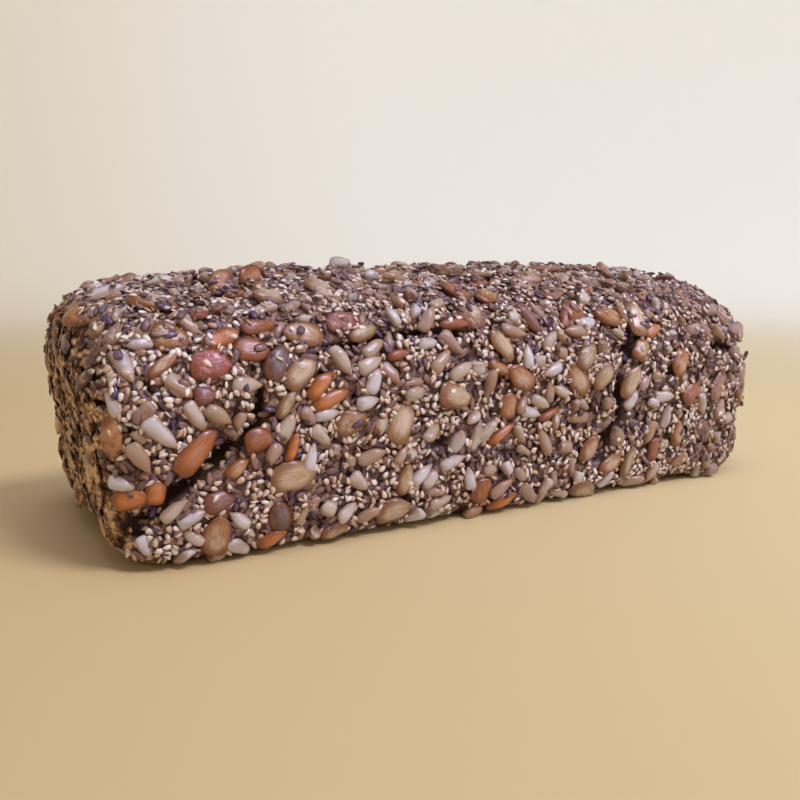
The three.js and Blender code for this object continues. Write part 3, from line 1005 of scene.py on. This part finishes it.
class Paint:
    """A material's node tree, with short ways to add to it."""

    def __init__(self, name):
        self.material = bpy.data.materials.new(name)
        self.material.use_nodes = True
        self.tree = self.material.node_tree
        self.shader = self.tree.nodes["Principled BSDF"]

    def add(self, kind, values=None, **settings):
        made = self.tree.nodes.new(kind)
        for name, value in settings.items():
            setattr(made, name, value)
        for name, value in (values or {}).items():
            self.feed(made.inputs[name], value)
        return made

    def feed(self, socket, value):
        """Links what another node gives to a socket, or sets a plain value there."""
        if isinstance(value, bpy.types.NodeSocket):
            self.tree.links.new(value, socket)
        else:
            socket.default_value = value

    def place(self):
        return self.add("ShaderNodeTexCoord").outputs["Object"]

    def part(self, vector, axis):
        return self.add("ShaderNodeSeparateXYZ", {"Vector": vector}).outputs[axis]

    def length(self, vector):
        return self.add("ShaderNodeVectorMath", {0: vector}, operation="LENGTH").outputs["Value"]

    def attribute(self, name, output="Fac"):
        return self.add("ShaderNodeAttribute", attribute_name=name).outputs[output]

    def noise(self, place, scale, detail=3, fourth=None):
        values = {"Vector": place, "Scale": scale, "Detail": detail}
        if fourth is None:
            return self.add("ShaderNodeTexNoise", values).outputs["Fac"]
        values["W"] = fourth
        return self.add("ShaderNodeTexNoise", values, noise_dimensions="4D").outputs["Fac"]

    def stretched(self, place, scale):
        made = self.add("ShaderNodeVectorMath", {0: place, 1: scale}, operation="MULTIPLY")
        return made.outputs["Vector"]

    def math(self, operation, first, second=0.0, third=0.0):
        values = {0: first, 1: second, 2: third}
        return self.add("ShaderNodeMath", values, operation=operation).outputs["Value"]

    def times(self, first, second):
        return self.math("MULTIPLY", first, second)

    def plus(self, first, second):
        return self.math("ADD", first, second)

    def step(self, value, low, high):
        values = {"Value": value, "From Min": low, "From Max": high}
        return self.add("ShaderNodeMapRange", values, interpolation_type="SMOOTHSTEP").outputs["Result"]

    def ramp(self, value, stops):
        made = self.add("ShaderNodeValToRGB", {"Fac": value})
        row = made.color_ramp.elements
        while len(row) < len(stops):
            row.new(0.5)
        for element, (position, colour) in zip(row, stops):
            element.position = position
            element.color = (*colour[:3], 1)
        return made.outputs["Color"]

    def mix(self, share, first, second):
        made = self.add("ShaderNodeMix", data_type="RGBA")
        self.feed(made.inputs[0], share)
        for socket, value in ((made.inputs[6], first), (made.inputs[7], second)):
            self.feed(socket, value if isinstance(value, bpy.types.NodeSocket) else (*value[:3], 1))
        return made.outputs[2]

    def tint(self, colour, value, ends, share, shade):
        """A colour that turns by a share to a shade, as a value goes from one end to the other."""
        return self.mix(self.step(value, *ends), colour, self.mix(share, colour, shade))

    def bump(self, height, strength, distance, under=None):
        values = {"Height": height, "Strength": strength, "Distance": distance}
        if under is not None:
            values["Normal"] = under
        return self.add("ShaderNodeBump", values).outputs["Normal"]

    def finish(self, colour, roughness, normal=None, **constants):
        self.feed(self.shader.inputs["Base Color"], colour)
        self.feed(self.shader.inputs["Roughness"], roughness)
        if normal is not None:
            self.feed(self.shader.inputs["Normal"], normal)
        for name, value in constants.items():
            self.shader.inputs[name.replace("_", " ")].default_value = value
        return self.material


END_DARK, END, END_LIGHT = srgb(46, 27, 14), srgb(118, 74, 34), srgb(228, 190, 146)
LILAC_SHEEN = {"Sheen_Roughness": 0.4, "Sheen_Tint": (*srgb(226, 218, 255), 1)}
KERNEL = {**LILAC_SHEEN, "Specular_Tint": (*srgb(210, 204, 255), 1), "Subsurface_Scale": 0.001}


def baked_end(paint, place, colour, share, look, deep=None):
    """The left end, where the crust baked browner and duller against the tin, darkest high up."""
    end = paint.attribute("end")
    blotches = paint.noise(paint.stretched(place, (1, 0.65, 1)), 330, 5)
    high = paint.step(paint.part(place, "Z"), 0.03, 0.075)
    shades = paint.ramp(paint.math("MULTIPLY_ADD", high, -0.07, blotches), (
        (0.39, look.end_dark),
        (0.48, look.end),
        (0.59, look.end_light),
    ))
    dull = end if deep is None else paint.math("MAXIMUM", end, deep)
    gloss = paint.math("MULTIPLY_ADD", dull, -0.6, 0.85)
    paint.tree.links.new(gloss, paint.shader.inputs["Specular IOR Level"])
    return paint.mix(paint.times(end, share), colour, shades)


def dough_film(paint, colour, look, normal=None):
    """Dough smeared on a seed in patches, as thick as the seed's own share of it, and its lumps."""
    place = paint.place()
    along = paint.part(place, "X")
    thick = paint.times(paint.attribute("film"), 0.65)
    share = paint.plus(paint.noise(place, 380, 5), paint.math("SUBTRACT", thick, 0.5))
    share = paint.times(paint.step(share, 0.2, 0.7), 0.75)
    grain = paint.noise(place, 800, 3)
    shades = paint.ramp(grain, (
        (0.3, look.film_dark),
        (0.46, look.film),
        (0.64, look.film_light),
    ))
    cast = paint.noise(place, 75, 2)
    # Painted sheen: a lilac cast laid on the film in patches.
    shades = paint.tint(shades, cast, (0.5, 0.62), 0.35, look.painted_lilac_sheen)
    shades = paint.tint(shades, cast, (0.5, 0.38), 0.45, look.film_warm)
    shades = paint.tint(shades, along, (0.06, 0.1), 0.5, look.film_light)
    lumps = paint.bump(paint.times(grain, share), 1.0, 0.0011, normal)
    return baked_end(paint, place, paint.mix(share, colour, shades), 0.78, look), lumps


def pumpkin_finish(look):
    """Roasted kernels from greige through orange to mauve, pale in the middle where a lilac-grey highlight
    is painted, and toasted at the edge, darker there also with painted shade.
    """
    paint = Paint("roasted_pumpkin_kernel")
    tone = paint.attribute("tone")
    place = paint.attribute("seed_place", "Vector")
    own = paint.times(tone, 40)
    body = paint.ramp(tone, (
        (0.0, srgb(150, 130, 90)),
        (0.15, srgb(180, 152, 116)),
        (0.28, srgb(162, 114, 60)),
        (0.42, srgb(170, 106, 28)),
        (0.54, srgb(190, 108, 16)),
        (0.66, srgb(142, 78, 32)),
        (0.78, srgb(178, 72, 58)),
        (0.9, srgb(108, 76, 78)),
        (1.0, srgb(78, 56, 48)),
    ))
    out = paint.length(paint.stretched(place, (2, 2, 0)))
    blotch = paint.noise(place, 2.6, 4, own)
    # Painted highlight: the kernel's raised middle turns lilac-grey, most on the greige to tan tones.
    middle = paint.step(paint.math("SUBTRACT", blotch, paint.times(out, 0.25)), 0.2, 0.5)
    painted_highlight_share = paint.math("MULTIPLY_ADD", paint.step(tone, 0.33, 0.46), -0.46, 0.62)
    colour = paint.mix(paint.times(middle, painted_highlight_share), body, srgb(212, 194, 188))
    # The margin is toasted, and also darkened as painted shade round the kernel's edge.
    toasted = paint.mix(0.75, body, look.pumpkin_margin)
    edge = paint.step(paint.plus(out, paint.times(blotch, 0.7)), 0.82, 1.3)
    colour = paint.mix(edge, colour, toasted)
    veins = paint.noise(paint.stretched(place, (1.6, 12, 1)), 1.6, 3, own)
    colour = paint.tint(colour, veins, (0.48, 0.74), 0.6, srgb(92, 56, 34))
    colour, lumps = dough_film(paint, colour, look, paint.bump(veins, 0.45, 0.0004))
    return paint.finish(
        colour,
        paint.plus(paint.times(blotch, 0.3), 0.12),
        lumps,
        Coat_Weight=0.2,
        Coat_Roughness=0.2,
        Sheen_Weight=0.04,
        Subsurface_Weight=0.1,
        Subsurface_Radius=(1.0, 0.55, 0.25),
        **KERNEL,
    )


def sunflower_finish(look):
    """Grey-tan kernels, browner at the tip, with faint streaks, and paler on their backs than on their
    sides, which painted shade browns.
    """
    paint = Paint("sunflower_kernel")
    tone = paint.attribute("tone")
    place = paint.attribute("seed_place", "Vector")
    own = paint.times(tone, 60)
    body = paint.ramp(tone, (
        (0.0, srgb(206, 206, 228)),
        (0.2, srgb(202, 193, 200)),
        (0.4, srgb(188, 174, 168)),
        (0.6, srgb(174, 152, 138)),
        (0.8, srgb(162, 134, 120)),
        (1.0, srgb(174, 150, 152)),
    ))
    streaks = paint.noise(paint.stretched(place, (1.2, 10, 4)), 1.8, 3, own)
    colour = paint.tint(body, streaks, (0.45, 0.8), 0.3, srgb(130, 100, 76))
    colour = paint.tint(colour, paint.part(place, "X"), (0.0, 0.5), 0.65, srgb(166, 116, 70))
    # Painted shade: the kernel turns browner towards its sides.
    side = paint.math("ABSOLUTE", paint.part(place, "Y"))
    colour = paint.tint(colour, side, (0.2, 0.5), 0.6, srgb(162, 116, 74))
    colour, lumps = dough_film(paint, colour, look, paint.bump(streaks, 0.2, 0.0003))
    return paint.finish(
        colour,
        paint.plus(paint.times(streaks, 0.3), 0.12),
        lumps,
        Sheen_Weight=0.15,
        Subsurface_Weight=0.12,
        Subsurface_Radius=(1.0, 0.6, 0.4),
        **KERNEL,
    )


def linseed_finish(look):
    """Brown to violet-black seed coats, some with a wet gloss."""
    paint = Paint("linseed_coat")
    tone = paint.attribute("tone")
    place = paint.attribute("seed_place", "Vector")
    body = paint.ramp(tone, (
        (0.0, srgb(82, 60, 56)),
        (0.25, srgb(114, 86, 82)),
        (0.5, srgb(136, 105, 99)),
        (0.72, srgb(152, 116, 104)),
        (0.84, srgb(104, 78, 104)),
        (1.0, srgb(58, 40, 88)),
    ))
    out = paint.length(paint.stretched(place, (2, 2, 0)))
    # Painted shade: the seed darkens towards its rim.
    body = paint.tint(body, out, (0.55, 1.0), 0.65, srgb(42, 24, 18))
    mottle = paint.noise(place, 3.5, 3, paint.times(tone, 50))
    colour = paint.tint(body, mottle, (0.4, 0.8), 0.4, srgb(168, 138, 128))
    colour, lumps = dough_film(paint, colour, look)
    return paint.finish(
        colour,
        paint.plus(paint.times(mottle, 0.4), paint.math("MULTIPLY_ADD", tone, -0.14, 0.2)),
        lumps,
        Specular_Tint=(*srgb(212, 202, 255), 1),
    )


def sesame_finish(look):
    """Cream to toasted hulls, browner at the tip."""
    paint = Paint("sesame_hull")
    tone = paint.attribute("tone")
    place = paint.attribute("seed_place", "Vector")
    body = paint.ramp(tone, (
        (0.0, srgb(238, 228, 236)),
        (0.4, srgb(226, 209, 207)),
        (0.75, srgb(212, 186, 176)),
        (1.0, srgb(184, 147, 128)),
    ))
    colour = paint.tint(body, paint.part(place, "X"), (0.1, 0.6), 0.45, srgb(166, 118, 92))
    colour, lumps = dough_film(paint, colour, look)
    return paint.finish(colour, 0.3, lumps)


def flake_finish(look):
    """Bits of husk, dough and kernel of every shade, dull to wet."""
    paint = Paint("crushed_seed")
    tone = paint.attribute("tone")
    place = paint.place()
    shades = paint.ramp(tone, (
        (0.0, srgb(62, 46, 54)),
        (0.2, srgb(108, 80, 80)),
        (0.4, srgb(144, 112, 108)),
        (0.55, srgb(168, 124, 100)),
        (0.7, srgb(190, 154, 138)),
        (0.86, srgb(216, 190, 178)),
        (1.0, srgb(208, 198, 210)),
    ))
    grain = paint.noise(place, 700, 3)
    colour = paint.tint(shades, grain, (0.35, 0.75), 0.4, look.film_dark)
    return paint.finish(
        baked_end(paint, place, colour, 0.75, look),
        paint.times(grain, 0.7),
        Specular_Tint=(*srgb(212, 204, 255), 1),
        Sheen_Weight=0.2,
        **LILAC_SHEEN,
    )


def crust_finish(look):
    """Dark baked dough full of crushed seed, glossy in patches, and near black down the folds, where shade
    is painted.
    """
    paint = Paint("baked_seed_crust")
    place = paint.place()
    crumbs = paint.add("ShaderNodeTexVoronoi", {"Vector": place, "Scale": 420.0})
    grain = paint.noise(place, 1100, 3)
    broad = paint.noise(place, 90, 3)
    speck = paint.add("ShaderNodeSeparateColor", {"Color": crumbs.outputs["Color"]}).outputs["Red"]
    mixed = paint.plus(paint.times(grain, 0.5), paint.times(speck, 0.5))
    colour = paint.ramp(mixed, (
        (0.2, look.crust_dark),
        (0.42, look.crust),
        (0.6, look.crust_light),
        (0.78, srgb(204, 172, 156)),
    ))
    colour = paint.tint(colour, broad, (0.35, 0.7), 0.4, srgb(84, 58, 56))
    colour = paint.mix(paint.times(paint.attribute("film"), 0.5), colour, look.coat)
    deep = paint.step(paint.attribute("depth"), 0.2, 0.7)
    colour = baked_end(paint, place, colour, 0.9, look, deep)
    # Painted shade: the deepest parts of the folds turn near black.
    colour = paint.mix(deep, colour, look.fold_shade)
    height = paint.plus(paint.times(crumbs.outputs["Distance"], -0.8), grain)
    return paint.finish(
        colour,
        paint.plus(paint.times(grain, 0.6), 0.14),
        paint.bump(height, 0.8, 0.0006),
        Specular_Tint=(*srgb(212, 204, 255), 1),
    )


# What a user would change

def colour_setting(name, description, default):
    return FloatVectorProperty(
        name=name, description=description, default=default, min=0, max=1, subtype="COLOR", size=3,
    )


class CrustLook(bpy.types.PropertyGroup):
    grid: FloatProperty(
        name="Grid", description="Distance between the crust's mesh points", default=0.00106, unit="LENGTH",
    )
    depth: FloatProperty(
        name="Depth", description="How far the dough lies under the seeds", default=0.001, unit="LENGTH",
    )
    crust: colour_setting("Crust", "Baked dough", srgb(94, 66, 54))
    crust_light: colour_setting("Crushed seed", "Paler crumbs", srgb(142, 110, 96))
    crust_dark: colour_setting("Dark crust", "Darkest dough", srgb(54, 32, 16))
    end_dark: colour_setting("End, dark", "Darkest of the left end", END_DARK)
    end: colour_setting("End", "The browner left end", END)
    end_light: colour_setting("End, light", "Palest of the left end", END_LIGHT)
    coat: colour_setting("Coating", "Dough that coats the seeds", srgb(132, 101, 94))
    # Painted shade down in the folds.
    fold_shade: colour_setting("Crevice", "Down in the folds", srgb(60, 42, 30))


class SeedLook(bpy.types.PropertyGroup):
    plumpness: FloatProperty(
        name="Plumpness", description="How much thicker the kernels swell", default=1.15, min=0.5, max=2,
    )
    pumpkins: IntProperty(
        name="Small pumpkin kernels", description="Besides those placed one by one", default=110, min=0,
    )
    sunflowers: IntProperty(
        name="Small sunflower kernels", description="Besides those placed one by one", default=540, min=0,
    )
    linseeds: IntProperty(name="Linseeds", description="Number over the whole loaf", default=5300, min=0)
    sesames: IntProperty(name="Sesame seeds", description="Number over the whole loaf", default=6300, min=0)
    flakes: IntProperty(name="Crushed seed", description="Flakes over the whole loaf", default=6000, min=0)
    film: colour_setting("Film", "Dough smeared over seeds", srgb(122, 91, 84))
    film_light: colour_setting("Light film", "Paler dough on seeds", srgb(172, 144, 139))
    # Painted lilac sheen, laid on the film in patches.
    painted_lilac_sheen: colour_setting("Hazy film", "Lilac cast on it in patches", srgb(152, 134, 156))
    film_warm: colour_setting("Warm film", "Browner dough in patches", srgb(146, 92, 58))
    film_dark: colour_setting("Dark film", "Darker dough on seeds", srgb(58, 38, 34))
    end_dark: colour_setting("End, dark", "Darkest of the left end", END_DARK)
    end: colour_setting("End", "The browner left end", END)
    end_light: colour_setting("End, light", "Palest of the left end", END_LIGHT)
    # Toasted margin colour, which also stands in for painted shade at the kernel's edge.
    pumpkin_margin: colour_setting("Pumpkin margin", "Toasted edge", srgb(122, 68, 26))


class StageLook(bpy.types.PropertyGroup):
    floor: colour_setting("Floor", "Paper near the loaf", (0.725, 0.6, 0.385))
    # Painted shade: the floor is darker on the left.
    floor_left_shade: colour_setting("Floor, left", "Darker paper on the left", (0.52, 0.335, 0.16))
    # Painted warm light: the wall is warmer on the left.
    wall_left_warm_light: colour_setting("Wall, left", "Warmer paper on the left", (0.66, 0.51, 0.26))
    wall: colour_setting("Wall", "Paper far from it", (0.92, 0.92, 0.91))
    key_power: FloatProperty(
        name="Key light", description="Soft light, up front", default=18.0, min=0, unit="POWER",
    )
    top_power: FloatProperty(
        name="Top light", description="Wide cool light overhead", default=6.0, min=0, unit="POWER",
    )
    sky: FloatProperty(name="Sky", description="Even light from all round", default=0.26, min=0)
    # The glow is light that the far paper emits itself: painted light.
    glow: FloatProperty(name="Wall glow", description="Light behind the far paper", default=0.17, min=0)


# The camera, floor and lights

def aimed_light(name, place, size, power, colour):
    light = bpy.data.lights.new(name, "AREA")
    light.shape = "DISK"
    light.size = size
    light.energy = power
    light.color = colour
    lamp = bpy.data.objects.new(name, light)
    lamp.location = place
    lamp.rotation_euler = (Vector(LIGHT_AIM) - Vector(place)).to_track_quat("-Z", "Y").to_euler()
    bpy.context.scene.collection.objects.link(lamp)


def sweep_mesh(flat, bend, height, sides=96, rings=16):
    """A round floor that curves up into a wall all round."""
    profile = [(flat * i / 4, 0.0) for i in range(1, 5)]
    for i in range(1, rings + 1):
        angle = math.pi / 2 * i / rings
        profile.append((flat + bend * math.sin(angle), bend * (1 - math.cos(angle))))
    profile.append((flat + bend, height))
    places = [(0, 0, 0)]
    for radius, z in profile:
        for s in range(sides):
            angle = 2 * math.pi * s / sides
            places.append((radius * math.cos(angle), radius * math.sin(angle), z))
    faces = [(0, 1 + s, 1 + (s + 1) % sides) for s in range(sides)]
    for ring in range(len(profile) - 1):
        low = 1 + ring * sides
        for s in range(sides):
            n = (s + 1) % sides
            faces.append((low + s, low + sides + s, low + sides + n, low + n))
    mesh = bpy.data.meshes.new("paper_sweep")
    mesh.from_pydata(places, [], faces, shade_flat=False)
    return mesh


def paper_finish(look):
    """Warm paper that grows paler away from the loaf and glows there with emitted light of its own, painted
    light, with its left side painted warmer on the wall and darker on the floor.
    """
    paint = Paint("pale_paper")
    place = paint.place()
    # Painted light: the paper pales away from the loaf and glows there.
    far = paint.step(paint.length(place), 0.25, 1.4)
    across = paint.part(place, "X")
    wall = paint.mix(paint.step(across, -0.9, 0.9), look.wall_left_warm_light, look.wall)
    floor = paint.mix(paint.step(across, -0.5, 0.2), look.floor_left_shade, look.floor)
    paint.tree.links.new(paint.times(far, look.glow), paint.shader.inputs["Emission Strength"])
    return paint.finish(
        paint.mix(far, floor, wall), 0.85,
        Specular_IOR_Level=0.2, Emission_Color=(*look.wall, 1),
    )


class SetStage(bpy.types.Operator):
    """Makes the camera, the paper sweep and the lights"""

    bl_idname = "seeded_loaf.set_stage"
    bl_label = "Camera, floor and lights"

    def execute(self, context):
        look = context.scene.loaf_stage
        lens = bpy.data.cameras.new("photo_view")
        lens.sensor_width = 36
        lens.lens = CAMERA_LENS
        lens.clip_start = 0.01
        camera = bpy.data.objects.new("photo_view", lens)
        camera.location = CAMERA_PLACE
        camera.rotation_euler = (math.radians(90 - CAMERA_DOWN), 0, -math.radians(CAMERA_TURN))
        context.scene.collection.objects.link(camera)
        context.scene.camera = camera

        sweep = bpy.data.objects.new("paper_sweep", sweep_mesh(SWEEP_FLAT, SWEEP_BEND, SWEEP_HEIGHT))
        context.scene.collection.objects.link(sweep)
        sweep.data.materials.append(paper_finish(look))

        aimed_light("key_light", KEY_PLACE, KEY_SIZE, look.key_power, KEY_COLOUR)
        aimed_light("top_light", TOP_PLACE, TOP_SIZE, look.top_power, TOP_COLOUR)
        world = bpy.data.worlds.new("even_sky")
        world.use_nodes = True
        sky = world.node_tree.nodes["Background"]
        sky.inputs["Color"].default_value = (*SKY_COLOUR, 1)
        sky.inputs["Strength"].default_value = look.sky
        context.scene.world = world
        context.scene.view_settings.view_transform = "Standard"
        return {"FINISHED"}


# The crust

def box_lattice(steps):
    """Whole-number points of a box's surface, and its faces, closed and facing out."""
    corners = []
    for axis in range(3):
        u, v = (axis + 1) % 3, (axis + 2) % 3
        for end in (0, steps[axis]):
            i, j = np.meshgrid(np.arange(steps[u]), np.arange(steps[v]), indexing="ij")
            ring = ((0, 0), (1, 0), (1, 1), (0, 1)) if end else ((0, 0), (0, 1), (1, 1), (1, 0))
            quad = np.zeros((i.size, 4, 3), np.int64)
            for k, (du, dv) in enumerate(ring):
                quad[:, k, axis] = end
                quad[:, k, u] = i.ravel() + du
                quad[:, k, v] = j.ravel() + dv
            corners.append(quad.reshape(-1, 3))
    points, index = np.unique(np.concatenate(corners), axis=0, return_inverse=True)
    return points, index.reshape(-1, 4)


class AddCrust(bpy.types.Operator):
    """Makes the dough between the seeds, with its folds and crumbs"""

    bl_idname = "seeded_loaf.add_crust"
    bl_label = "Crust"

    def execute(self, context):
        look = context.scene.loaf_crust
        extent = np.array((BREAD_LENGTH, BREAD_WIDTH, BREAD_HEIGHT))
        steps = [round(side * MM / look.grid) for side in extent]
        points, faces = box_lattice(steps)
        box_points = points / steps * extent - (BREAD_LENGTH / 2, BREAD_WIDTH / 2, 0)
        skin = skin_points(box_points)
        normals = skin_normals(skin)
        cut = relief(skin, normals)
        coat = coated(skin, normals)
        crumbs = patches(skin, CRUMB_SIZE)
        underside = np.clip((normals[:, 2] + 0.95) / 0.3, 0, 1)
        sunk = look.depth / MM * (1 - 0.6 * coat) + hollows(skin, normals) - CRUMB_HEIGHT * crumbs + cut
        places = skin - normals * (sunk * underside)[:, None]
        places[:, 2] = np.maximum(places[:, 2], UNDERSIDE_HEIGHT)
        mesh = bpy.data.meshes.new("crust_core")
        mesh.from_pydata(places * MM, [], faces, shade_flat=False)
        shares = {"depth": np.clip(cut / 4, 0, 1), "film": coat, "end": on_left_end(normals)}
        for name, values in shares.items():
            kept = mesh.attributes.new(name, "FLOAT", "POINT")
            kept.data.foreach_set("value", values.astype(np.float32))
        mesh.materials.append(crust_finish(look))
        core = bpy.data.objects.new("crust_core", mesh)
        context.scene.collection.objects.link(core)
        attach(core, "root")
        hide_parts(NODE)
        return {"FINISHED"}


class AddSeeds(bpy.types.Operator):
    """Lays the seeds: those of the solid, more of them, and the finer seed between"""

    bl_idname = "seeded_loaf.add_seeds"
    bl_label = "Seeds"

    def execute(self, context):
        look = context.scene.loaf_seeds
        dice = random.Random(FINE_CHANCE)
        large = Ground(LARGE_CELL)
        flax_ground = Ground(SMALL_CELL)
        sesame_ground = Ground(SMALL_CELL)
        pumpkins, sunflowers = solid_seeds(dice)
        for seed in (*pumpkins, *sunflowers):
            large.add(seed)
        for kind, rows, seeds in (
            (PUMPKIN, MORE_FRONT_PUMPKINS, pumpkins),
            (SUNFLOWER, MORE_FRONT_SUNFLOWERS, sunflowers),
        ):
            for seed in standing_out_seeds(kind, rows):
                if large.free(seed.discs(), MORE_OVERLAP):
                    seeds.append(seed)
                    large.add(seed)

        pumpkins += fill(SMALL_PUMPKIN, look.pumpkins, pumpkins_wanted, large, large, (), dice, toasting)
        sunflowers += fill(SMALL_SUNFLOWER, look.sunflowers, sunflowers_wanted, large, large, (), dice)
        for name, seeds, make_form, finish, slot_name in (
            ("pumpkin_seeds", pumpkins, pumpkin_form, pumpkin_finish, "pumpkin_seed"),
            ("sunflower_kernels", sunflowers, sunflower_form, sunflower_finish, "sunflower_kernel"),
        ):
            laid_piece(name, seeds, make_form, finish(look), slot_name, LARGE_FILM, look.plumpness)

        firm = firm_surface(("crust_core", "pumpkin_seeds", "sunflower_kernels"))
        both = (flax_ground, sesame_ground)
        linseeds = fill(LINSEED, look.linseeds, linseeds_wanted, large, flax_ground, both, dice, firm=firm)
        sesames = fill(SESAME, look.sesames, sesames_wanted, large, sesame_ground, both, dice, firm=firm)
        flakes = fill(FLAKE, look.flakes, flakes_wanted, large, None, both, dice, firm=firm)
        laid_piece("linseeds", linseeds, linseed_form, linseed_finish(look), "linseed", FINE_FILM)
        laid_piece("sesame_seeds", sesames, sesame_form, sesame_finish(look), "sesame", FINE_FILM)
        laid_piece("crushed_seed", flakes, flake_form, flake_finish(look), "crust")
        return {"FINISHED"}


class LoafPanel(bpy.types.Panel):
    bl_label = "Seeded loaf"
    bl_idname = "VIEW3D_PT_seeded_loaf"
    bl_space_type = "VIEW_3D"
    bl_region_type = "UI"
    bl_category = "Loaf"

    def draw(self, context):
        for step, group in STEPS:
            box = self.layout.box()
            box.operator(step.bl_idname)
            settings = getattr(context.scene, group)
            for name in settings.__annotations__:
                box.prop(settings, name)


STEPS = ((SetStage, "loaf_stage"), (AddCrust, "loaf_crust"), (AddSeeds, "loaf_seeds"))
LOOKS = {"loaf_crust": CrustLook, "loaf_seeds": SeedLook, "loaf_stage": StageLook}


def register():
    for look in LOOKS.values():
        bpy.utils.register_class(look)
    for step, _ in STEPS:
        bpy.utils.register_class(step)
    bpy.utils.register_class(LoafPanel)
    for name, look in LOOKS.items():
        setattr(bpy.types.Scene, name, PointerProperty(type=look))


def unregister():
    for name in LOOKS:
        delattr(bpy.types.Scene, name)
    bpy.utils.unregister_class(LoafPanel)
    for step, _ in reversed(STEPS):
        bpy.utils.unregister_class(step)
    for look in LOOKS.values():
        bpy.utils.unregister_class(look)


def main():
    register()
    bpy.ops.seeded_loaf.set_stage()
    bpy.ops.seeded_loaf.add_crust()
    bpy.ops.seeded_loaf.add_seeds()


if __name__ == "__main__":
    main()
